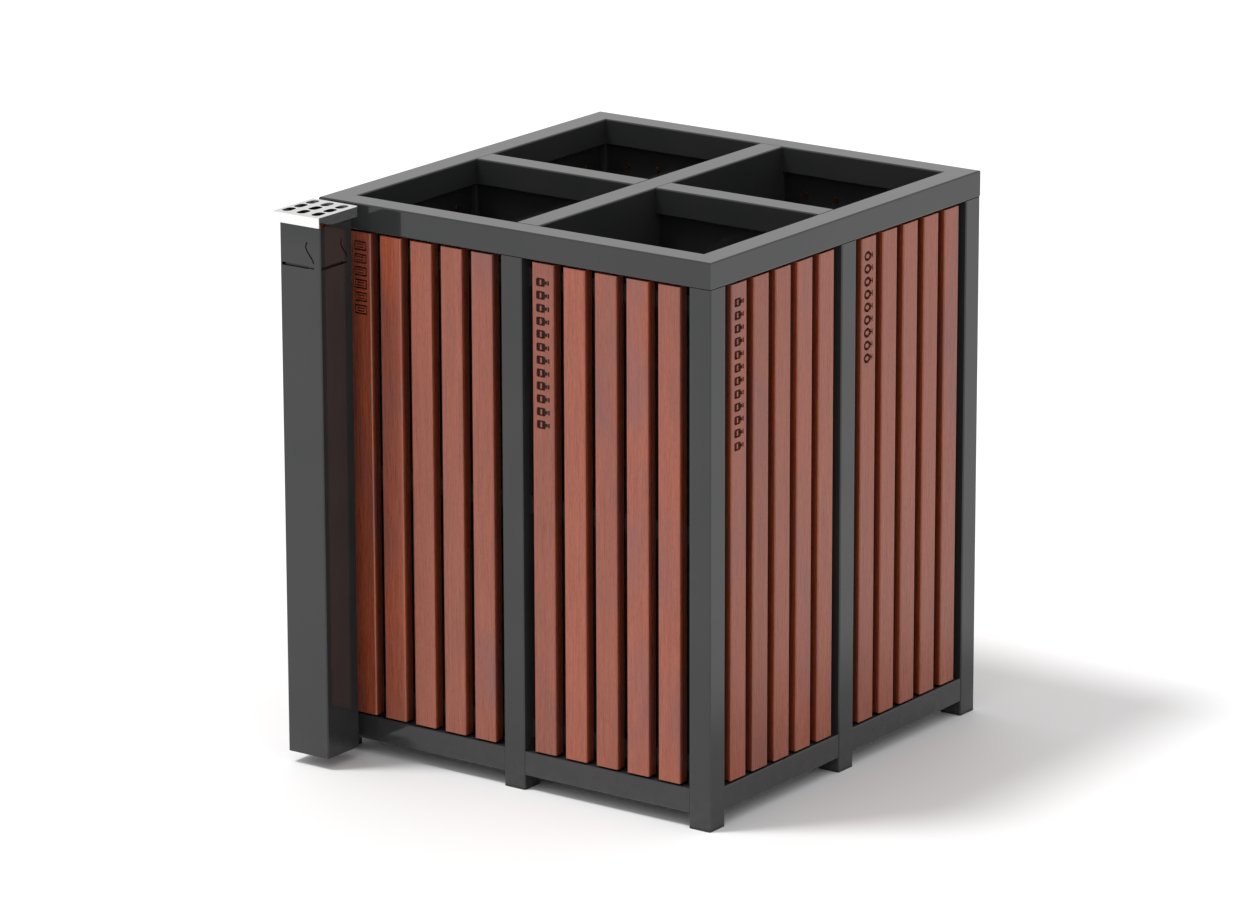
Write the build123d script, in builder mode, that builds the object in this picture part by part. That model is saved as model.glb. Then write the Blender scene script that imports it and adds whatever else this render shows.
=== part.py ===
"""Four-stream litter bin with timber slats, an open top and a stand-off ash column.

Millimetres, +Z up. The origin is on the floor under the centre foot. The front faces -Y.
Every side is drawn once in its own frame, u along the side and v = -375 at its outer face,
and turned about Z: front 0, right 90, back 180, left 270 degrees.
"""

from build123d import *
import os
from math import cos, radians, sin

os.makedirs("parts", exist_ok=True)

# ---- Driving dimensions ----
WIDTH = 750.0  # square plan, over the posts
HEIGHT = 904.0  # floor to the top of the frame
POST = 40.0  # square post and rail tube
TOP = 43.0  # square tube of the top frame
TUBE_WALL = 2.0
TUBE_ROUND = 2.5  # outer corner radius of every tube
FOOT = 4.0  # foot cap under each post
RAIL_FLOOR = 24.0  # clear height under the bottom rails
RAIL_RECESS = 1.0  # rails behind the post faces
RAIL_DEPTH = 38.0  # depth of the outer bottom rails
SHEET = 1.5
FLOOR_SHEET = 2.0

SLATS = 5  # slats in each bay
SLAT_WIDTH = 41.0
SLAT_DEPTH = 21.0
SLAT_ROUND = 2.5
SLAT_RECESS = 2.0  # slats behind the post faces
SLAT_END_GAP = 3.5  # above and below each slat
BATTEN_DEPTH = 6.0
BATTEN_HEIGHT = 30.0
MARK_DEPTH = 3.0
SCREW_RADIUS = 2.0
HEAD_RADIUS = 4.5
HEAD_HEIGHT = 2.6
HEAD_TAPER = 18.0  # degrees
DRIVE_RADIUS = 1.6
DRIVE_DEPTH = 1.4
PILOT_CLEARANCE = 0.05
PILOT_DEPTH = 14.7  # into the slat
SCREW_BITE = 12.6  # into the slat

LINER = 284.0  # liner body, outside
LINER_RIM = 300.0  # over the turned-out rim
LINER_TOP = 780.0
DRAIN_SPACING = 120.0  # drain holes in liners and floor panels
LINER_LIFT_GAP = 0.3  # under the liner
RIM_LIP = 10.0
LUG_HEIGHT = 12.0
LUG_WIDTH = 22.0
BAIL_WIRE = 3.0  # radius
BAIL_RISE = 3.6  # pivot above the liner's rim
BAIL_CLEARANCE = 0.08
BAIL_PIN = 3.5  # pin end past the rim's half width

COLUMN = 80.0  # square ash column
COLUMN_X = -332.0
COLUMN_Y = -438.0
COLUMN_FLOOR = 19.0
CAP_WIDTH = 90.0
CAP_DEPTH = 100.0
CAP_DROP = 17.0
CAP_SHEET = 2.0
CAP_ROUND = 3.0  # upright corners
CAP_EDGE = 1.2  # round the top
BUCKET = 72.0
BUCKET_BOTTOM = 570.0
SLOT_PITCH_X = 29.0
SLOT_PITCH_Y = 29.5
SLOT_LENGTH = 25.0
SLOT_WIDTH = 15.5
SPACER_HEIGHTS = (140.0, 760.0)
BOLT_RADIUS = 4.0
BOLT_CLEARANCE = 0.1
BOLT_HEAD_RADIUS = 8.0
HEAD_RELIEF = 0.2  # bolt heads stop short of the column's inner face
BOLT_SOCKET_RADIUS = 2.9
BOLT_SOCKET_DEPTH = 1.6
BOLT_END = 14.0  # past the post's outer face
SPACER_RADIUS = 13.0
NUT_RADIUS = 7.5
NUT_HEIGHT = 6.5
NUT_CLEARANCE = 0.05

# ---- Sizes worked out from them ----
HALF = WIDTH / 2
POST_INNER = HALF - POST  # inner faces of the outer posts
POST_HALF = POST / 2
FRAME_BOTTOM = HEIGHT - TOP
TOP_INNER = HALF - TOP
TOP_HALF = TOP / 2
RAIL_TOP = RAIL_FLOOR + POST
RAIL_V = -HALF + RAIL_RECESS + RAIL_DEPTH / 2
BAY = POST_INNER - POST_HALF  # clear width between posts
BAY_CENTRE = (POST_INNER + POST_HALF) / 2
SLAT_GAP = (BAY - SLATS * SLAT_WIDTH) / (SLATS + 1)
SLAT_PITCH = SLAT_WIDTH + SLAT_GAP
SLAT_BOTTOM = RAIL_TOP + SLAT_END_GAP
SLAT_TOP = FRAME_BOTTOM - SLAT_END_GAP
SLAT_FACE = HALF - SLAT_RECESS
SLAT_BACK = SLAT_FACE - SLAT_DEPTH
LINING_OUT = SLAT_BACK - BATTEN_DEPTH
LINING_IN = LINING_OUT - SHEET
FLOOR_TOP = RAIL_TOP + FLOOR_SHEET
BATTEN_HEIGHTS = (SLAT_BOTTOM + 30, (SLAT_BOTTOM + SLAT_TOP) / 2, SLAT_TOP - 30)
CELL = (TOP_HALF + TOP_INNER) / 2  # centre of each opening
SPINE_DEPTH = 140.0
SPINE_BOTTOM = HEIGHT - SPINE_DEPTH
SHORT_DIVIDER = 10.5  # outer faces of the short dividers from the centre line
FIT = 0.3  # clearance where sheet parts are let in between tubes
COLUMN_TOP = HEIGHT - CAP_SHEET - FIT

SIDES = {"front": 0, "right": 90, "back": 180, "left": 270}
CORNERS = {"front_right": 0, "back_right": 90, "back_left": 180, "front_left": 270}
STREAMS = {"front_left": "paper", "front_right": "plastic", "back_right": "mixed", "back_left": "glass"}
MARK_TOPS = {"paper": 846.0, "plastic": 838.0, "mixed": 838.0, "glass": 838.0}
MARK_COUNTS = {"paper": 6, "plastic": 12, "mixed": 9, "glass": 5}
MARK_PITCH = 20.6


def turned(angle, u, v, z=0.0):
    """A point of a side's own frame, in the bin's frame."""
    a = radians(angle)
    return Vector(u * cos(a) - v * sin(a), u * sin(a) + v * cos(a), z)


def plan(angle, z):
    """Horizontal sketch plane of a side, at height z."""
    return Plane(origin=(0, 0, z), x_dir=turned(angle, 1, 0), z_dir=(0, 0, 1))


def across(angle, u, v, z):
    """Sketch plane square to a side's length: x is v and y is up."""
    return Plane(origin=turned(angle, u, v, z), x_dir=turned(angle, 0, 1), z_dir=turned(angle, 1, 0))


def outward(angle, distance, u=0.0, z=0.0):
    """Upright sketch plane facing out of a side, at a distance from the centre."""
    return Plane(origin=turned(angle, u, -distance, z), x_dir=turned(angle, 1, 0), z_dir=turned(angle, 0, -1))


def tube_section(width, height):
    """Square tube, in the sketch that is open."""
    RectangleRounded(width, height, TUBE_ROUND)
    RectangleRounded(width - 2 * TUBE_WALL, height - 2 * TUBE_WALL, TUBE_ROUND / 2, mode=Mode.SUBTRACT)


def write(shape, label):
    """Names a finished shape and writes it."""
    shape.label = label
    export_step(shape, f"parts/{label}.step")


def finish(piece, label):
    """Names a finished piece and writes it."""
    write(piece.part, label)


def slat_centres(half):
    """Slat centres along a side in its left (-1) or right (+1) bay, left to right."""
    start = -POST_INNER if half < 0 else POST_HALF
    return [start + SLAT_GAP + SLAT_WIDTH / 2 + SLAT_PITCH * i for i in range(SLATS)]


def bay_corner(angle, half):
    """The corner whose opening lies behind a side's left (-1) or right (+1) bay."""
    corner_angle = angle if half > 0 else (angle - 90) % 360
    return next(name for name, turn in CORNERS.items() if turn == corner_angle)


# ---- Posts and their feet ----
def add_post(label, x, y, top, bolt_heights=()):
    with BuildPart() as post:
        with BuildSketch(Plane.XY.offset(FOOT)):
            with Locations((x, y)):
                tube_section(POST, POST)
        extrude(amount=top - FOOT)
        for height in bolt_heights:
            with BuildSketch(Plane(origin=(x, y, height), x_dir=(1, 0, 0), z_dir=(0, -1, 0))):
                Circle(BOLT_RADIUS + BOLT_CLEARANCE)
            extrude(amount=POST_HALF, mode=Mode.SUBTRACT)
    finish(post, label)


outer = HALF - POST_HALF
for corner, angle in CORNERS.items():
    place = turned(angle, outer, -outer)
    bolt_heights = SPACER_HEIGHTS if corner == "front_left" else ()
    add_post(f"corner_post_{corner}", place.X, place.Y, FRAME_BOTTOM, bolt_heights)
for side, angle in SIDES.items():
    place = turned(angle, 0, -outer)
    add_post(f"side_post_{side}", place.X, place.Y, FRAME_BOTTOM)
add_post("centre_post", 0, 0, SPINE_BOTTOM)

FOOT_PLUG = POST - 2 * TUBE_WALL - 0.4
PLUG_HEIGHT = 14.0
PLUG_WALL = 3.0
with BuildPart() as foot_caps:
    with BuildSketch():
        with GridLocations(outer, outer, 3, 3):
            RectangleRounded(POST, POST, TUBE_ROUND)
    extrude(amount=FOOT)
    with BuildSketch(Plane.XY.offset(FOOT)):
        with GridLocations(outer, outer, 3, 3):
            RectangleRounded(FOOT_PLUG, FOOT_PLUG, 1)
            RectangleRounded(FOOT_PLUG - 2 * PLUG_WALL, FOOT_PLUG - 2 * PLUG_WALL, 1, mode=Mode.SUBTRACT)
    extrude(amount=PLUG_HEIGHT)
finish(foot_caps, "foot_caps")

# ---- Bottom rails ----
for side, angle in SIDES.items():
    with BuildPart() as bottom_rail:
        for start in (-POST_INNER, POST_HALF):
            with BuildSketch(across(angle, start, RAIL_V, RAIL_FLOOR + POST_HALF)):
                tube_section(RAIL_DEPTH, POST)
        extrude(amount=BAY)
    finish(bottom_rail, f"bottom_rail_{side}")

for label, angles in (("cross_rails_wide", (0, 180)), ("cross_rails_deep", (90, 270))):
    with BuildPart() as cross_rails:
        for angle in angles:
            with BuildSketch(across(angle, POST_HALF, 0, RAIL_FLOOR + POST_HALF)):
                tube_section(POST, POST)
            extrude(amount=BAY)
    finish(cross_rails, label)

# ---- Floor panels, notched round the posts ----
PANEL_GAP = 0.5  # to the lining
PANEL_OUT = LINING_IN - PANEL_GAP
PANEL_IN = 1.0
PANEL_DRAIN_RADIUS = 6.0
for corner, angle in CORNERS.items():
    with BuildPart() as floor_panel:
        with BuildSketch(plan(angle, RAIL_TOP)):
            long_side = PANEL_OUT - PANEL_IN
            short_side = BAY - 2 * FIT
            with Locations(((PANEL_OUT + PANEL_IN) / 2, -BAY_CENTRE)):
                Rectangle(long_side, short_side)
            with Locations((BAY_CENTRE, -(PANEL_OUT + PANEL_IN) / 2)):
                Rectangle(short_side, long_side)
            with Locations((CELL, -CELL)):
                with GridLocations(DRAIN_SPACING, DRAIN_SPACING, 2, 2):
                    Circle(PANEL_DRAIN_RADIUS, mode=Mode.SUBTRACT)
        extrude(amount=FLOOR_SHEET)
    finish(floor_panel, f"floor_panel_{corner}")

# ---- Top frame: mitred tubes, a deep spine and two short cross tubes ----
for side, angle in SIDES.items():
    with BuildPart() as top_rail:
        with BuildSketch(across(angle, -HALF, -HALF + TOP_HALF, HEIGHT - TOP_HALF)):
            tube_section(TOP, TOP)
        extrude(amount=WIDTH)
        with BuildSketch(plan(angle, FRAME_BOTTOM)):
            with BuildLine():
                outline = [(-HALF, -HALF), (HALF, -HALF), (TOP_INNER, -TOP_INNER), (-TOP_INNER, -TOP_INNER)]
                Polyline(*outline, close=True)
            make_face()
        extrude(amount=TOP, mode=Mode.INTERSECT)
    finish(top_rail, f"top_rail_{side}")

with BuildPart() as spine_beam:
    with BuildSketch(across(90, -TOP_INNER, 0, HEIGHT - SPINE_DEPTH / 2)):
        tube_section(TOP, SPINE_DEPTH)
    extrude(amount=2 * TOP_INNER)
finish(spine_beam, "spine_beam")

for label, angle in (("cross_tube_right", 0), ("cross_tube_left", 180)):
    with BuildPart() as cross_tube:
        with BuildSketch(across(angle, TOP_HALF, 0, HEIGHT - TOP_HALF)):
            tube_section(TOP, TOP)
        extrude(amount=TOP_INNER - TOP_HALF)
    finish(cross_tube, label)

# ---- Divider sheets ----
with BuildPart() as long_divider:
    with BuildSketch(Plane.XY.offset(FLOOR_TOP)):
        with GridLocations(TOP - SHEET, 0, 2, 1):
            Rectangle(SHEET, 2 * POST_INNER - 2 * FIT)
    extrude(amount=SPINE_BOTTOM - FLOOR_TOP)
finish(long_divider, "long_divider")

for label, direction in (("short_divider_right", 1), ("short_divider_left", -1)):
    start = TOP_HALF + FIT
    end = POST_INNER - FIT
    with BuildPart() as short_divider:
        with BuildSketch(Plane.XY.offset(FLOOR_TOP)):
            with Locations((direction * (start + end) / 2, 0)):
                with GridLocations(0, 2 * SHORT_DIVIDER - SHEET, 1, 2):
                    Rectangle(end - start, SHEET)
        extrude(amount=FRAME_BOTTOM - FLOOR_TOP - FIT)
    finish(short_divider, label)

# ---- Battens, lining, slats and their screws ----
with BuildPart() as slat_battens:
    for angle in SIDES.values():
        with BuildSketch(outward(angle, LINING_OUT)):
            for height in BATTEN_HEIGHTS:
                with Locations((0, height)):
                    with GridLocations(2 * BAY_CENTRE, 0, 2, 1):
                        Rectangle(BAY, BATTEN_HEIGHT)
                with Locations(*[(u, height) for half in (-1, 1) for u in slat_centres(half)]):
                    Circle(SCREW_RADIUS + PILOT_CLEARANCE, mode=Mode.SUBTRACT)
        extrude(amount=BATTEN_DEPTH)
finish(slat_battens, "slat_battens")

for side, angle in SIDES.items():
    with BuildPart() as lining:
        with BuildSketch(outward(angle, LINING_IN)):
            with Locations((0, (FLOOR_TOP + FRAME_BOTTOM - FIT) / 2)):
                with GridLocations(2 * BAY_CENTRE, 0, 2, 1):
                    Rectangle(BAY - 2 * FIT, FRAME_BOTTOM - FIT - FLOOR_TOP)
            for height in BATTEN_HEIGHTS:
                with Locations(*[(u, height) for half in (-1, 1) for u in slat_centres(half)]):
                    Circle(SCREW_RADIUS + PILOT_CLEARANCE, mode=Mode.SUBTRACT)
        extrude(amount=SHEET)
    finish(lining, f"lining_{side}")


def paper_mark():
    """Sheet of paper with two lines."""
    RectangleRounded(25, 15.5, 1.5)
    RectangleRounded(19.5, 10, 0.8, mode=Mode.SUBTRACT)
    with GridLocations(0, 4.6, 1, 2):
        Rectangle(14, 2)


def plastic_mark():
    """Bottle lying on its side."""
    with Locations((-4, 0)):
        RectangleRounded(17, 13.5, 3)
        Rectangle(3, 8, mode=Mode.SUBTRACT)
    with Locations((6, 0)):
        Rectangle(5, 5.5)
    with Locations((10.8, 0)):
        Rectangle(3, 7.5)


def glass_mark():
    """Jar with a lid, on its side."""
    with Locations((-3.5, 0)):
        RectangleRounded(18, 15, 3.5)
        RectangleRounded(11.5, 8.5, 1.5, mode=Mode.SUBTRACT)
    with Locations((9.5, 0)):
        RectangleRounded(4.5, 14, 1)


def mixed_mark():
    """Tied sack, on its side."""
    with Locations((-4, 0)):
        Ellipse(9, 8)
        Ellipse(4.5, 3.5, mode=Mode.SUBTRACT)
    with Locations((7.5, 0)):
        Rectangle(7, 2.6)
        with GridLocations(5, 0, 2, 1):
            Rectangle(2.2, 9)


MARKS = {"paper": paper_mark, "plastic": plastic_mark, "glass": glass_mark, "mixed": mixed_mark}

for side, angle in SIDES.items():
    for half, hand in ((-1, "left"), (1, "right")):
        stream = STREAMS[bay_corner(angle, half)]
        centres = slat_centres(half)
        with BuildPart() as slats:
            with BuildSketch(plan(angle, SLAT_BOTTOM)):
                with Locations(*[(u, -(SLAT_FACE + SLAT_BACK) / 2) for u in centres]):
                    RectangleRounded(SLAT_WIDTH, SLAT_DEPTH, SLAT_ROUND)
            extrude(amount=SLAT_TOP - SLAT_BOTTOM)
            with BuildSketch(outward(angle, SLAT_BACK)):
                with Locations(*[(u, z) for u in centres for z in BATTEN_HEIGHTS]):
                    Circle(SCREW_RADIUS + PILOT_CLEARANCE)
            extrude(amount=PILOT_DEPTH, mode=Mode.SUBTRACT)
            heights = [MARK_TOPS[stream] - MARK_PITCH * (i + 0.5) for i in range(MARK_COUNTS[stream])]
            for height in heights:
                with BuildSketch(outward(angle, SLAT_FACE, centres[0], height)):
                    MARKS[stream]()
                extrude(amount=-MARK_DEPTH, mode=Mode.SUBTRACT)
        finish(slats, f"slats_{side}_{hand}")

SCREW_LENGTH = BATTEN_DEPTH + SHEET + SCREW_BITE
with BuildPart() as slat_screws:
    for angle in SIDES.values():
        spots = [(u, z) for half in (-1, 1) for u in slat_centres(half) for z in BATTEN_HEIGHTS]
        with BuildSketch(outward(angle, LINING_IN)):
            with Locations(*spots):
                Circle(SCREW_RADIUS)
        extrude(amount=SCREW_LENGTH)
        with BuildSketch(outward(angle, LINING_IN)):
            with Locations(*spots):
                Circle(HEAD_RADIUS)
        extrude(amount=-HEAD_HEIGHT, taper=HEAD_TAPER)
        with BuildSketch(outward(angle, LINING_IN - HEAD_HEIGHT)):
            with Locations(*spots):
                RegularPolygon(DRIVE_RADIUS, 6)
        extrude(amount=DRIVE_DEPTH, mode=Mode.SUBTRACT)
finish(slat_screws, "slat_screws")

# ---- Liners with their lifting bails ----
LINER_BOTTOM = FLOOR_TOP + LINER_LIFT_GAP
PIVOT_Z = LINER_TOP + BAIL_RISE
RIM_HALF = LINER_RIM / 2
LINER_BORE = LINER - 2 * SHEET
RIM_BORE = LINER_RIM - 2 * SHEET
LUG_SHEET = 2.0
FOLD = 10.0  # outer radius of the upright corners
RIM_FOLD = 14.0
DRAIN_RADIUS = 4.0
ZONE_REACH = 20.0  # past the rim, so that each zone holds its whole sheet
ZONE_SIZES = {0: LINER - 2 * FOLD, -1: FOLD + ZONE_REACH, 1: FOLD + ZONE_REACH}
ZONE_OFFSET = LINER / 2 - FOLD + (FOLD + ZONE_REACH) / 2
LINER_ZONES = [(i, j) for i in (-1, 0, 1) for j in (-1, 0, 1) if (i, j) != (0, 0)]
BAIL_GAP = 0.5  # to the lug
BAIL_ARM = RIM_HALF - LUG_SHEET - BAIL_WIRE - BAIL_GAP
BAIL_ROUND = 14.0
PIN_ROUND = 3.2
for corner, angle in CORNERS.items():
    with BuildPart() as liner_base:
        with BuildSketch(plan(angle, LINER_BOTTOM)):
            with Locations((CELL, -CELL)):
                RectangleRounded(LINER_BORE, LINER_BORE, FOLD - SHEET)
                with GridLocations(DRAIN_SPACING, DRAIN_SPACING, 2, 2):
                    Circle(DRAIN_RADIUS, mode=Mode.SUBTRACT)
        extrude(amount=SHEET)
    with BuildPart() as liner_shell:
        with BuildSketch(plan(angle, LINER_BOTTOM)):
            with Locations((CELL, -CELL)):
                RectangleRounded(LINER, LINER, FOLD)
                RectangleRounded(LINER_BORE, LINER_BORE, FOLD - SHEET, mode=Mode.SUBTRACT)
        extrude(amount=LINER_TOP - LINER_BOTTOM)
        with BuildSketch(plan(angle, LINER_TOP - SHEET)):
            with Locations((CELL, -CELL)):
                RectangleRounded(LINER_RIM, LINER_RIM, RIM_FOLD)
                RectangleRounded(LINER_BORE, LINER_BORE, FOLD - SHEET, mode=Mode.SUBTRACT)
        extrude(amount=SHEET)
        with BuildSketch(plan(angle, LINER_TOP - RIM_LIP)):
            with Locations((CELL, -CELL)):
                RectangleRounded(LINER_RIM, LINER_RIM, RIM_FOLD)
                RectangleRounded(RIM_BORE, RIM_BORE, RIM_FOLD - SHEET, mode=Mode.SUBTRACT)
        extrude(amount=RIM_LIP)
        for start in (CELL - RIM_HALF, CELL + RIM_HALF - LUG_SHEET):
            with BuildSketch(across(angle, start, -CELL, LINER_TOP + LUG_HEIGHT / 2)):
                Rectangle(LUG_WIDTH, LUG_HEIGHT)
                with Locations((0, BAIL_RISE - LUG_HEIGHT / 2)):
                    Circle(BAIL_WIRE + BAIL_CLEARANCE, mode=Mode.SUBTRACT)
            extrude(amount=LUG_SHEET)
    # Four wall sheets and four corner folds, seam welded to each other and to the base
    wall_sheets = []
    for i, j in LINER_ZONES:
        zone = Box(ZONE_SIZES[i], ZONE_SIZES[j], 2 * HEIGHT)
        place = plan(angle, 0) * Pos(CELL + i * ZONE_OFFSET, -CELL + j * ZONE_OFFSET)
        wall_sheets += (liner_shell.part & place * zone).solids()
    write(Compound([liner_base.part.solid(), *wall_sheets]), f"liner_{corner}")

    pin = RIM_HALF + BAIL_PIN
    with BuildPart() as bail:
        with BuildLine(plan(angle, PIVOT_Z)) as wire:
            FilletPolyline(
                (CELL - pin, -CELL),
                (CELL - BAIL_ARM, -CELL),
                (CELL - BAIL_ARM, -CELL - BAIL_ARM),
                (CELL + BAIL_ARM, -CELL - BAIL_ARM),
                (CELL + BAIL_ARM, -CELL),
                (CELL + pin, -CELL),
                radius=[PIN_ROUND, BAIL_ROUND, BAIL_ROUND, PIN_ROUND],
            )
        with BuildSketch(Plane(origin=wire.line @ 0, z_dir=wire.line % 0)):
            Circle(BAIL_WIRE)
        sweep()
    finish(bail, f"bail_{corner}")

# ---- Ash column with its cigarette mark, and the pieces in and on it ----
COLUMN_FRONT = COLUMN_Y - COLUMN / 2
COLUMN_RIGHT = COLUMN_X + COLUMN / 2
MARK_Z = 819.0
COLUMN_MARK_DEPTH = TUBE_WALL + 0.5  # cut right through


def cigarette_mark():
    """Cigarette with a curl of smoke, seen on a face 80 mm wide."""
    with Locations((-9.5, 0)):
        Rectangle(53, 5)
    with Locations((22, -0.6)):
        Rectangle(11, 2.4)
    with BuildLine() as smoke:
        Spline((14.5, 40), (11.8, 31), (19, 19.5), (26.5, 7))
    trace(smoke.line, line_width=2.4)


with BuildPart() as ash_column:
    with BuildSketch(Plane.XY.offset(COLUMN_FLOOR)):
        with Locations((COLUMN_X, COLUMN_Y)):
            tube_section(COLUMN, COLUMN)
    extrude(amount=COLUMN_TOP - COLUMN_FLOOR)
    front_face = Plane(origin=(COLUMN_X, COLUMN_FRONT, MARK_Z), x_dir=(1, 0, 0), z_dir=(0, -1, 0))
    side_face = Plane(origin=(COLUMN_RIGHT, COLUMN_Y, MARK_Z), x_dir=(0, 1, 0), z_dir=(1, 0, 0))
    for face in (front_face, side_face):
        with BuildSketch(face):
            cigarette_mark()
        extrude(amount=-COLUMN_MARK_DEPTH, mode=Mode.SUBTRACT)
    with BuildSketch(Plane(origin=(0, COLUMN_Y, 0), x_dir=(1, 0, 0), z_dir=(0, -1, 0))):
        with Locations(*[(-outer, z) for z in SPACER_HEIGHTS]):
            Circle(BOLT_HEAD_RADIUS + BOLT_CLEARANCE)
    extrude(amount=-COLUMN / 2, mode=Mode.SUBTRACT)

# Four plates, seam welded along the corners
COLUMN_BORE = COLUMN - 2 * TUBE_WALL
column_centre = Pos(COLUMN_X, COLUMN_Y)
column_plates = []
for dx, dy in ((0, -1), (0, 1), (-1, 0), (1, 0)):
    zone = Box(COLUMN, 2 * TUBE_WALL, 2 * HEIGHT) if dy else Box(2 * TUBE_WALL, COLUMN_BORE, 2 * HEIGHT)
    reach = COLUMN_BORE / 2 + TUBE_WALL
    column_plates += (ash_column.part & column_centre * Pos(dx * reach, dy * reach) * zone).solids()
write(Compound(column_plates), "ash_column")

PLATE = COLUMN_BORE - 0.4  # floor plate of the column
PLATE_ROUND = 1.0
PLATE_RAISE = 2.0
PLATE_THICKNESS = 3.0
PLATE_DRAIN_RADIUS = 5.0
with BuildPart() as ash_column_floor:
    with BuildSketch(Plane.XY.offset(COLUMN_FLOOR + PLATE_RAISE)):
        with Locations((COLUMN_X, COLUMN_Y)):
            RectangleRounded(PLATE, PLATE, PLATE_ROUND)
            Circle(PLATE_DRAIN_RADIUS, mode=Mode.SUBTRACT)
    extrude(amount=PLATE_THICKNESS)
finish(ash_column_floor, "ash_column_floor")

# Stand-off spacers welded to the column, bolted to the front left post from inside the column
COLUMN_BACK = COLUMN_Y + COLUMN / 2
SPACER_LENGTH = -HALF - COLUMN_BACK


def facing_back(y):
    """Upright sketch plane facing +Y: x is -X and y is up."""
    return Plane(origin=(0, y, 0), x_dir=(-1, 0, 0), z_dir=(0, 1, 0))


spacer_spots = [(outer, z) for z in SPACER_HEIGHTS]
with BuildPart() as ash_spacers:
    with BuildSketch(facing_back(COLUMN_BACK)):
        with Locations(*spacer_spots):
            Circle(SPACER_RADIUS)
            Circle(BOLT_RADIUS + BOLT_CLEARANCE, mode=Mode.SUBTRACT)
    extrude(amount=SPACER_LENGTH)
finish(ash_spacers, "ash_spacers")

with BuildPart() as ash_bolts:
    with BuildSketch(facing_back(COLUMN_BACK - TUBE_WALL + HEAD_RELIEF)):
        with Locations(*spacer_spots):
            Circle(BOLT_HEAD_RADIUS)
    extrude(amount=TUBE_WALL - HEAD_RELIEF)
    with BuildSketch(facing_back(COLUMN_BACK)):
        with Locations(*spacer_spots):
            Circle(BOLT_RADIUS)
    extrude(amount=SPACER_LENGTH + BOLT_END)
    with BuildSketch(facing_back(COLUMN_BACK - TUBE_WALL + HEAD_RELIEF)):
        with Locations(*spacer_spots):
            RegularPolygon(BOLT_SOCKET_RADIUS, 6)
    extrude(amount=BOLT_SOCKET_DEPTH, mode=Mode.SUBTRACT)
finish(ash_bolts, "ash_bolts")

with BuildPart() as ash_nuts:
    with BuildSketch(facing_back(-HALF + TUBE_WALL)):
        with Locations(*spacer_spots):
            RegularPolygon(NUT_RADIUS, 6)
            Circle(BOLT_RADIUS + NUT_CLEARANCE, mode=Mode.SUBTRACT)
    extrude(amount=NUT_HEIGHT)
finish(ash_nuts, "ash_nuts")

# Ash cap: a shallow lid with nine slots and four tabs that grip the bucket
BUCKET_WALL = 1.2
BUCKET_ROUND = 4.0
BUCKET_TOP = HEIGHT - CAP_SHEET - FIT
TAB_CLEARANCE = 0.08
TAB_WIDTH = 12.0
TAB_DROP = 12.0
BUCKET_BEAD = 1.2  # turned-out band round the bucket's mouth
BEAD_HEIGHT = 8.0
with BuildPart() as ash_cap:
    with BuildSketch(Plane.XY.offset(HEIGHT - CAP_DROP)):
        with Locations((COLUMN_X, COLUMN_Y)):
            RectangleRounded(CAP_WIDTH, CAP_DEPTH, CAP_ROUND)
    extrude(amount=CAP_DROP)
    fillet(ash_cap.faces().sort_by(Axis.Z)[-1].edges(), radius=CAP_EDGE)
    with BuildSketch(Plane.XY.offset(HEIGHT - CAP_DROP)):
        with Locations((COLUMN_X, COLUMN_Y)):
            RectangleRounded(CAP_WIDTH - 2 * CAP_SHEET, CAP_DEPTH - 2 * CAP_SHEET, CAP_ROUND / 2)
    extrude(amount=CAP_DROP - CAP_SHEET, mode=Mode.SUBTRACT)
    with BuildSketch(Plane.XY.offset(HEIGHT)):
        with Locations((COLUMN_X, COLUMN_Y)):
            with GridLocations(SLOT_PITCH_X, SLOT_PITCH_Y, 3, 3):
                SlotOverall(SLOT_LENGTH, SLOT_WIDTH, rotation=90)
    extrude(amount=-CAP_SHEET, mode=Mode.SUBTRACT)
    with BuildSketch(Plane.XY.offset(HEIGHT - CAP_SHEET)):
        with Locations((COLUMN_X, COLUMN_Y)):
            with GridLocations(SLOT_PITCH_X, BUCKET - 3 * BUCKET_WALL - 2 * TAB_CLEARANCE, 2, 2):
                Rectangle(TAB_WIDTH, BUCKET_WALL)
    extrude(amount=-TAB_DROP)
finish(ash_cap, "ash_cap")

with BuildPart() as ash_bucket:
    with BuildSketch(Plane.XY.offset(BUCKET_BOTTOM)):
        with Locations((COLUMN_X, COLUMN_Y)):
            RectangleRounded(BUCKET, BUCKET, BUCKET_ROUND)
    extrude(amount=BUCKET_TOP - BUCKET_BOTTOM)
    with BuildSketch(Plane.XY.offset(BUCKET_TOP - BEAD_HEIGHT)):
        with Locations((COLUMN_X, COLUMN_Y)):
            RectangleRounded(BUCKET + 2 * BUCKET_BEAD, BUCKET + 2 * BUCKET_BEAD, BUCKET_ROUND + BUCKET_BEAD)
    extrude(amount=BEAD_HEIGHT)
    with BuildSketch(Plane.XY.offset(BUCKET_BOTTOM + BUCKET_WALL)):
        with Locations((COLUMN_X, COLUMN_Y)):
            RectangleRounded(BUCKET - 2 * BUCKET_WALL, BUCKET - 2 * BUCKET_WALL, BUCKET_ROUND - BUCKET_WALL)
    extrude(amount=BUCKET_TOP - BUCKET_BOTTOM, mode=Mode.SUBTRACT)
finish(ash_bucket, "ash_bucket")
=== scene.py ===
"""Litter bin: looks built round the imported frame. Metres, +Z up, front towards -Y."""

from math import cos, radians, sin

import bpy
from mathutils import Matrix, Vector


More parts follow.
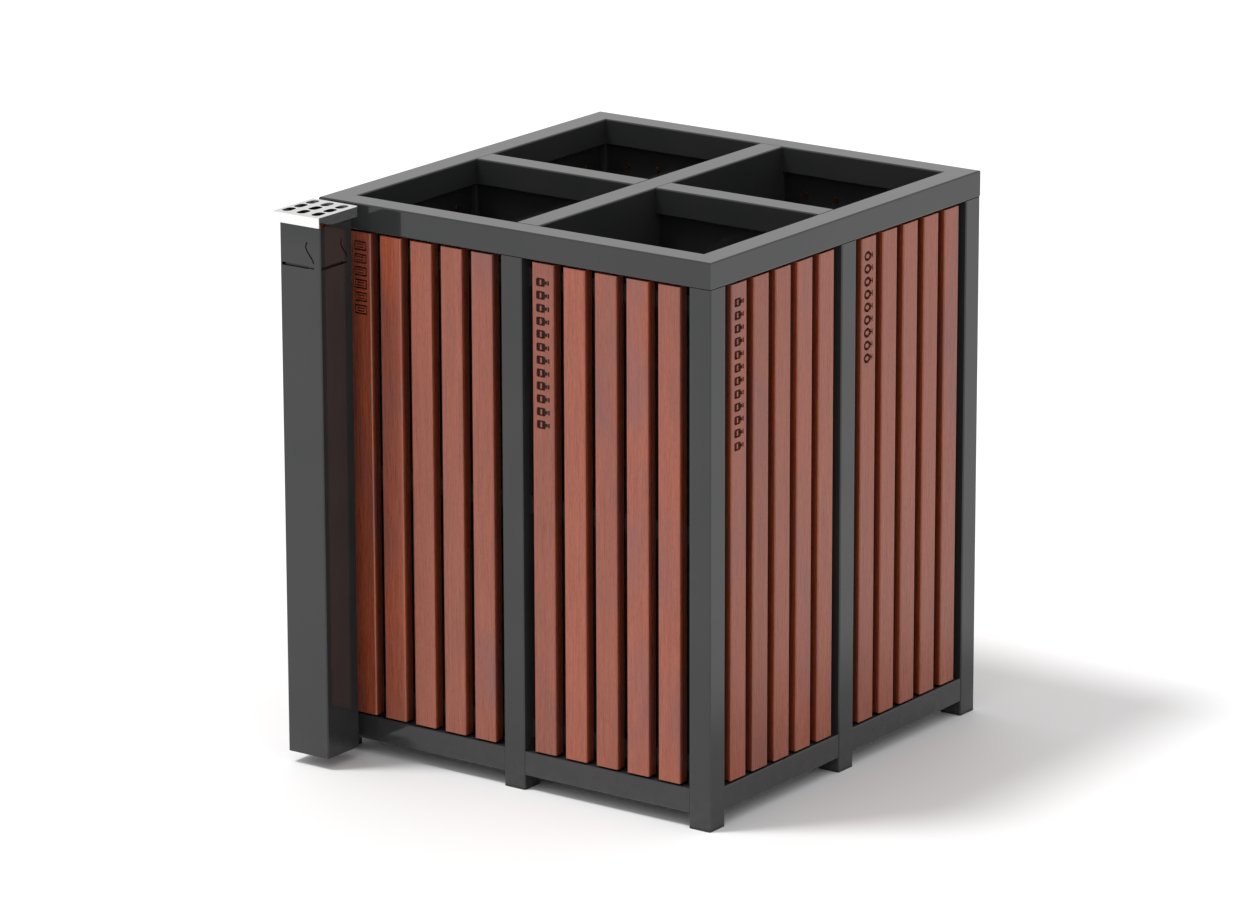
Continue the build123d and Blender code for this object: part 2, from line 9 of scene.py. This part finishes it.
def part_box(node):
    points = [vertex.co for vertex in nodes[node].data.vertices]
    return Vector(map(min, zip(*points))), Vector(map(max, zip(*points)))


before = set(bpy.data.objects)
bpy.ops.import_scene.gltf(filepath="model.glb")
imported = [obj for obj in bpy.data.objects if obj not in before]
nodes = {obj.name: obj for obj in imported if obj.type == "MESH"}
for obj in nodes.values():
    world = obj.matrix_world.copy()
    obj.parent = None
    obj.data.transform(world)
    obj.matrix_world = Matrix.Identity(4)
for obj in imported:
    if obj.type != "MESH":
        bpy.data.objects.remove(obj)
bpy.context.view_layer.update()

# ---- Places and sizes that the materials follow, taken from the frame ----
slat_low, slat_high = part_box("slats_front_right")
SLAT_FACE = -slat_low.y  # distance of every slat face from the bin's middle
SLATS = 5  # in one bay
SLAT_WIDTH = 0.041
SLAT_PITCH = (slat_high.x - slat_low.x - SLAT_WIDTH) / (SLATS - 1)
MARK_DEPTHS = (0.0012, 0.0034)  # the beds of the engraved marks lie between these depths
SLAT_PAINTED_SHADE_DEPTHS = (0.002, 0.009)  # painted shade on the slat sides grows from none to full between these depths
column_low, column_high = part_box("ash_column")
COLUMN_CENTRE = (column_low + column_high) / 2
COLUMN_HALF = (column_high.x - column_low.x) / 2
COLUMN_SKIN = 0.0006  # only what is deeper than this is cut edge or inside
GRIME_HEIGHT = 0.07  # splashes from the ground reach this high

# ---- Light and camera ----
SURROUNDINGS = 0.82  # strength of the even white light from all sides
SUN_FROM = (-0.32, -0.28, 0.91)
SUN_STRENGTH = 1.75
SUN_SPREAD = 12  # degrees
FLOOR_SIZE = 60
CAMERA_PLACE = (5.672, -7.939, 3.209)
CAMERA_YAW, CAMERA_PITCH, CAMERA_ROLL = -35.47, -15.49, 0.07
SENSOR_WIDTH = 36.0
FOCAL_IN_WIDTHS = 5.027
SHIFT_X, SHIFT_Y = -0.0244, -0.0282
VIEW_DISTANCE = 200


# ---- Node helpers ----
class Nodes:
    """A short way to build one material's node tree."""

    def __init__(self, name):
        self.material = bpy.data.materials.new(name)
        self.material.use_nodes = True
        self.tree = self.material.node_tree
        self.bsdf = self.tree.nodes["Principled BSDF"]
        self.coords = self.add("ShaderNodeTexCoord").outputs["Object"]

    def add(self, kind, **settings):
        node = self.tree.nodes.new(kind)
        for key, value in settings.items():
            setattr(node, key, value)
        return node

    def link(self, source, target):
        """Join a socket to an input, or set the input to a plain value."""
        if hasattr(source, "is_output"):
            self.tree.links.new(source, target)
        else:
            target.default_value = source

    def math(self, operation, *values, clamp=False):
        node = self.add("ShaderNodeMath", operation=operation, use_clamp=clamp)
        for value, socket in zip(values, node.inputs):
            self.link(value, socket)
        return node.outputs[0]

    def separate(self, vector):
        node = self.add("ShaderNodeSeparateXYZ")
        self.link(vector, node.inputs[0])
        return node.outputs

    def combine(self, x, y, z):
        node = self.add("ShaderNodeCombineXYZ")
        for value, socket in zip((x, y, z), node.inputs):
            self.link(value, socket)
        return node.outputs[0]

    def scaled(self, vector, x, y, z):
        node = self.add("ShaderNodeVectorMath", operation="MULTIPLY")
        self.link(vector, node.inputs[0])
        node.inputs[1].default_value = (x, y, z)
        return node.outputs[0]

    def moved(self, vector, offset):
        node = self.add("ShaderNodeVectorMath", operation="ADD")
        self.link(vector, node.inputs[0])
        self.link(offset, node.inputs[1])
        return node.outputs[0]

    def noise(self, vector, scale, detail=2.0, roughness=0.5, distortion=0.0):
        node = self.add("ShaderNodeTexNoise")
        self.link(vector, node.inputs["Vector"])
        node.inputs["Scale"].default_value = scale
        node.inputs["Detail"].default_value = detail
        node.inputs["Roughness"].default_value = roughness
        node.inputs["Distortion"].default_value = distortion
        return node.outputs["Fac"]

    def spread(self, value, low, high, to_low=0.0, to_high=1.0):
        """Stretch low..high to to_low..to_high, held at both ends."""
        node = self.add("ShaderNodeMapRange")
        self.link(value, node.inputs["Value"])
        for socket, number in zip(("From Min", "From Max", "To Min", "To Max"), (low, high, to_low, to_high)):
            self.link(number, node.inputs[socket])
        return node.outputs["Result"]

    def mix(self, factor, first, second, blend="MIX"):
        node = self.add("ShaderNodeMix", data_type="RGBA", blend_type=blend)
        self.link(factor, node.inputs["Factor"])
        for value, socket in zip((first, second), (node.inputs[6], node.inputs[7])):
            self.link(value if hasattr(value, "is_output") else (*value, 1), socket)
        return node.outputs[2]

    def dimmed(self, colour, factor):
        """The colour times one number."""
        return self.mix(1.0, colour, self.combine(factor, factor, factor), "MULTIPLY")

    def bump(self, height, strength, distance):
        node = self.add("ShaderNodeBump")
        node.inputs["Strength"].default_value = strength
        node.inputs["Distance"].default_value = distance
        self.link(height, node.inputs["Height"])
        return node.outputs["Normal"]

    def finish(self, colour, roughness, normal=None, **sockets):
        for value, name in ((colour, "Base Color"), (roughness, "Roughness"), (normal, "Normal")):
            if value is not None:
                self.link(value, self.bsdf.inputs[name])
        for name, value in sockets.items():
            self.bsdf.inputs[name.replace("_", " ")].default_value = value
        return self.material


# ---- Materials ----
def anthracite_paint(name, painted_shade_factor=1.0, painted_shade_inside=False):
    """Smooth glossy powder coat with faint cloudiness, and dust near the ground."""
    n = Nodes(name)
    peel = n.noise(n.coords, 130, 2)
    broad = n.noise(n.coords, 7, 3)
    dust = n.noise(n.coords, 45, 5, 0.65)
    # a shade factor below 1 paints shade into the colour; the inside copy of the paint uses it as painted
    # shade
    base = tuple(painted_shade_factor * value for value in (0.025, 0.026, 0.0265))
    pale = tuple(painted_shade_factor * value for value in (0.031, 0.031, 0.031))
    colour = n.mix(n.spread(broad, 0.35, 0.7), base, pale)
    low = n.spread(n.separate(n.coords)[2], 0.0, GRIME_HEIGHT, 1.0, 0.0)
    grime = n.math("MULTIPLY", low, n.spread(dust, 0.4, 0.75), clamp=True)
    colour = n.mix(n.math("MULTIPLY", grime, 0.25), colour, (0.12, 0.115, 0.105))
    if painted_shade_inside:
        # painted shade: near-black on the cut edges and the inside of the column
        colour = n.mix(below_column_skin(n), colour, (0.002, 0.002, 0.002))
    roughness = n.spread(dust, 0.3, 0.75, 0.05, 0.1)
    return n.finish(colour, roughness, n.bump(peel, 0.05, 0.0001), Specular_IOR_Level=0.45)


def below_column_skin(n):
    """1 on the cut edges and the inside of the ash column, where painted shade goes, 0 on its outer faces."""
    x, y, _ = n.separate(n.coords)
    from_side = n.math("ABSOLUTE", n.math("SUBTRACT", x, COLUMN_CENTRE.x))
    from_front = n.math("ABSOLUTE", n.math("SUBTRACT", y, COLUMN_CENTRE.y))
    return n.math("LESS_THAN", n.math("MAXIMUM", from_side, from_front), COLUMN_HALF - COLUMN_SKIN)


def slat_numbers(n, along, outward):
    """Three random numbers for each slat: its tone, its tint, and where its board was cut."""
    slat = n.math("FLOOR", n.math("DIVIDE", n.math("ADD", along, 10.0), SLAT_PITCH))
    side = n.math("MULTIPLY", n.math("SIGN", outward), 37.0)
    random = n.add("ShaderNodeTexWhiteNoise", noise_dimensions="1D")
    n.link(n.math("ADD", slat, side), random.inputs["W"])
    return n.separate(random.outputs["Color"])


def in_mark(n, depth, facing):
    """1 on the beds of the engraved marks, which face outward a little below the slat face."""
    above, below = MARK_DEPTHS
    inside = n.math("GREATER_THAN", depth, above)
    near_face = n.math("LESS_THAN", depth, below)
    flat = n.math("GREATER_THAN", n.math("ABSOLUTE", facing), 0.9)
    return n.math("MULTIPLY", n.math("MULTIPLY", inside, near_face), flat)


def stained_wood(name, turned_side, painted_shade_factor=1.0, shine=0.74):
    """Mahogany stain on planed softwood, varied from slat to slat, with burnt engraved marks and painted
    shade on the slat sides.
    """
    n = Nodes(name)
    x, y, _ = n.separate(n.coords)
    along, outward = (y, x) if turned_side else (x, y)
    tone, tint, shift = slat_numbers(n, along, outward)
    place = n.moved(n.coords, n.combine(0.0, 0.0, n.math("MULTIPLY", shift, 7.0)))
    place = n.moved(place, n.combine(n.math("MULTIPLY", tone, 3.0), n.math("MULTIPLY", tint, 3.0), 0.0))
    # the grain runs up the slats, so each pattern is stretched along Z
    fibre = n.noise(n.scaled(place, 1, 1, 0.03), 800, 3, 0.6)
    pores = n.noise(n.scaled(place, 1, 1, 0.08), 1300, 2, 0.5)
    rings = n.noise(n.scaled(place, 1, 1, 0.045), 95, 3, 0.55, 1.2)
    cloud = n.noise(n.scaled(place, 1, 1, 0.3), 14, 3, 0.6)
    colour = n.mix(n.spread(rings, 0.35, 0.65), (0.310, 0.062, 0.022), (0.248, 0.044, 0.014))
    colour = n.mix(n.math("MULTIPLY", n.spread(fibre, 0.42, 0.72), 0.6), colour, (0.40, 0.105, 0.050))
    colour = n.mix(n.math("MULTIPLY", n.spread(pores, 0.52, 0.68), 0.6), colour, (0.11, 0.018, 0.008))
    bluish = n.math("MULTIPLY", n.spread(cloud, 0.46, 0.66), n.spread(tint, 0.35, 0.7))
    colour = n.mix(n.math("MULTIPLY", bluish, 0.55), colour, (0.16, 0.055, 0.052))
    # random tone per slat, times the shade factor that paints shade into the side faces
    colour = n.dimmed(colour, n.spread(tone, 0.0, 1.0, 0.84 * painted_shade_factor, 1.12 * painted_shade_factor))
    depth = n.math("SUBTRACT", SLAT_FACE, n.math("ABSOLUTE", outward))
    # painted shade: the slat sides get darker the deeper they lie behind the slat face
    colour = n.dimmed(colour, n.spread(depth, *SLAT_PAINTED_SHADE_DEPTHS, 1.0, 0.45))
    facing = n.separate(n.add("ShaderNodeNewGeometry").outputs["Normal"])[0 if turned_side else 1]
    burnt = in_mark(n, depth, facing)
    colour = n.mix(burnt, colour, (0.014, 0.004, 0.002))
    roughness = n.math("MAXIMUM", n.spread(fibre, 0.3, 0.7, 0.24, 0.38), n.math("MULTIPLY", burnt, 0.95))
    height = n.math("ADD", fibre, n.math("MULTIPLY", rings, 0.6))
    return n.finish(colour, roughness, n.bump(height, 0.2, 0.0005), Specular_IOR_Level=shine)


def galvanised(name, soot=0.0):
    """Hot-dip zinc: crystal flakes of slightly different grey, under soot in the ash bucket."""
    n = Nodes(name)
    flakes = n.add("ShaderNodeTexVoronoi")
    n.link(n.coords, flakes.inputs["Vector"])
    flakes.inputs["Scale"].default_value = 70
    flake = n.separate(flakes.outputs["Color"])[0]
    dull = n.noise(n.coords, 6, 4)
    colour = n.mix(flake, (0.42, 0.43, 0.44), (0.58, 0.59, 0.6))
    colour = n.mix(n.spread(dull, 0.4, 0.7, 0.0, 0.4), colour, (0.36, 0.36, 0.35))
    colour = n.mix(soot, colour, (0.012, 0.011, 0.010))
    roughness = n.spread(flake, 0.0, 1.0, 0.32, 0.5)
    return n.finish(colour, roughness, n.bump(n.noise(n.coords, 160, 3), 0.06, 0.0005), Metallic=0.9)


def stainless(name, light=0.86):
    """Bright-rolled stainless sheet with a faint brush along Y."""
    n = Nodes(name)
    brushed = n.noise(n.scaled(n.coords, 1, 0.04, 1), 700, 2, 0.5)
    smudge = n.noise(n.coords, 30, 4)
    pale = (light, light, light)
    worn = (0.94 * light, 0.94 * light, 0.93 * light)
    colour = n.mix(n.spread(brushed, 0.35, 0.7), pale, worn)
    roughness = n.math("ADD", n.spread(brushed, 0.3, 0.7, 0.07, 0.11), n.spread(smudge, 0.4, 0.75, 0.0, 0.05))
    return n.finish(colour, roughness, n.bump(brushed, 0.02, 0.0001), Metallic=1.0)


def zinc_plate(name, base, dull):
    """Plated wire or screws with light tarnish."""
    n = Nodes(name)
    patch = n.noise(n.coords, 140, 4, 0.6)
    colour = n.mix(n.spread(patch, 0.4, 0.7), base, dull)
    return n.finish(colour, n.spread(patch, 0.3, 0.7, 0.25, 0.42), n.bump(patch, 0.1, 0.0002), Metallic=0.9)


def black_plastic(name):
    """Fine moulded grain with pale scuffs."""
    n = Nodes(name)
    grain = n.noise(n.coords, 1400, 2)
    scuff = n.noise(n.coords, 90, 4, 0.7)
    colour = n.mix(n.spread(scuff, 0.5, 0.8, 0.0, 0.5), (0.012, 0.012, 0.013), (0.06, 0.058, 0.055))
    return n.finish(colour, n.spread(scuff, 0.3, 0.7, 0.5, 0.7), n.bump(grain, 0.2, 0.0003))


MATERIALS = {
    "paint": anthracite_paint("anthracite_paint"),
    # the column paint has painted shade on its cut edges and inside
    "column_paint_shaded_inside": anthracite_paint("anthracite_paint_column_shaded_inside", painted_shade_inside=True),
    # the inside paint is the same anthracite with painted shade
    "inner_paint_painted_shade": anthracite_paint("anthracite_paint_inside_painted_shade", painted_shade_factor=0.6),
    "wood_front": stained_wood("stained_wood_front", False),
    # the side faces are the same wood with painted shade and less shine
    "wood_side": stained_wood("stained_wood_side_painted_shade", True, painted_shade_factor=0.88, shine=0.56),
    "galvanised": galvanised("galvanised_steel"),
    "sooty": galvanised("galvanised_steel_sooty", soot=0.9),
    "stainless": stainless("stainless_steel"),
    "wire": zinc_plate("bright_wire", (0.62, 0.62, 0.63), (0.45, 0.45, 0.45)),
    "screw": zinc_plate("yellow_zinc", (0.17, 0.07, 0.025), (0.08, 0.035, 0.015)),
    "plastic": black_plastic("black_plastic"),
}

# the first start of a node's name that fits gives its material, and all other nodes are painted
MATERIAL_BY_NAME = (
    ("slats_front", "wood_front"),
    ("slats_back", "wood_front"),
    ("slats_", "wood_side"),
    ("slat_battens", "inner_paint_painted_shade"),
    ("slat_screws", "screw"),
    ("lining_", "inner_paint_painted_shade"),
    ("floor_panel_", "inner_paint_painted_shade"),
    ("short_divider", "inner_paint_painted_shade"),
    ("long_divider", "inner_paint_painted_shade"),
    ("liner_", "galvanised"),
    ("bail_", "wire"),
    ("ash_column_floor", "paint"),
    ("ash_column", "column_paint_shaded_inside"),
    ("ash_bucket", "sooty"),
    ("ash_cap", "stainless"),
    ("ash_bolts", "galvanised"),
    ("ash_nuts", "galvanised"),
    ("foot_caps", "plastic"),
)


def dress(name, node):
    """Give one CAD node its material."""
    key = next((material for start, material in MATERIAL_BY_NAME if name.startswith(start)), "paint")
    node.data.materials.clear()
    node.data.materials.append(MATERIALS[key])


for name, node in nodes.items():
    dress(name, node)


# ---- Floor, light and camera ----
def add_floor():
    """A large pale floor with a faint mottle."""
    bpy.ops.mesh.primitive_plane_add(size=FLOOR_SIZE, location=(0, 0, 0))
    floor = bpy.context.object
    floor.name = "studio_floor"
    n = Nodes("pale_floor")
    colour = n.mix(n.noise(n.coords, 2.0, 3), (0.89, 0.89, 0.89), (0.91, 0.91, 0.91))
    floor.data.materials.append(n.finish(colour, 0.7, None, Specular_IOR_Level=0.2))


def add_sun(name, direction, strength, spread):
    """A soft even light from one direction, spread in degrees."""
    data = bpy.data.lights.new(name, "SUN")
    data.energy = strength
    data.angle = radians(spread)
    lamp = bpy.data.objects.new(name, data)
    bpy.context.scene.collection.objects.link(lamp)
    lamp.rotation_euler = (-Vector(direction)).to_track_quat("-Z", "Y").to_euler()


def add_world(strength):
    """Even white surroundings."""
    world = bpy.data.worlds.new("studio")
    bpy.context.scene.world = world
    world.use_nodes = True
    background = world.node_tree.nodes["Background"]
    background.inputs["Color"].default_value = (1, 1, 1, 1)
    background.inputs["Strength"].default_value = strength


def add_camera():
    """Long lens that looks down on the front right corner post."""
    data = bpy.data.cameras.new("camera")
    camera = bpy.data.objects.new("camera", data)
    bpy.context.scene.collection.objects.link(camera)
    data.sensor_width = SENSOR_WIDTH
    data.lens = FOCAL_IN_WIDTHS * SENSOR_WIDTH
    data.shift_x, data.shift_y = SHIFT_X, SHIFT_Y
    data.clip_end = VIEW_DISTANCE
    yaw, pitch = radians(CAMERA_YAW), radians(CAMERA_PITCH)
    forward = Vector((sin(yaw) * cos(pitch), cos(yaw) * cos(pitch), sin(pitch)))
    turn = forward.to_track_quat("-Z", "Y")
    roll = Matrix.Rotation(radians(CAMERA_ROLL), 4, forward)
    camera.matrix_world = Matrix.Translation(CAMERA_PLACE) @ roll @ turn.to_matrix().to_4x4()
    bpy.context.scene.camera = camera


add_floor()
add_world(SURROUNDINGS)
add_sun("key_above_left", SUN_FROM, SUN_STRENGTH, SUN_SPREAD)
add_camera()
bpy.context.scene.view_settings.view_transform = "Standard"
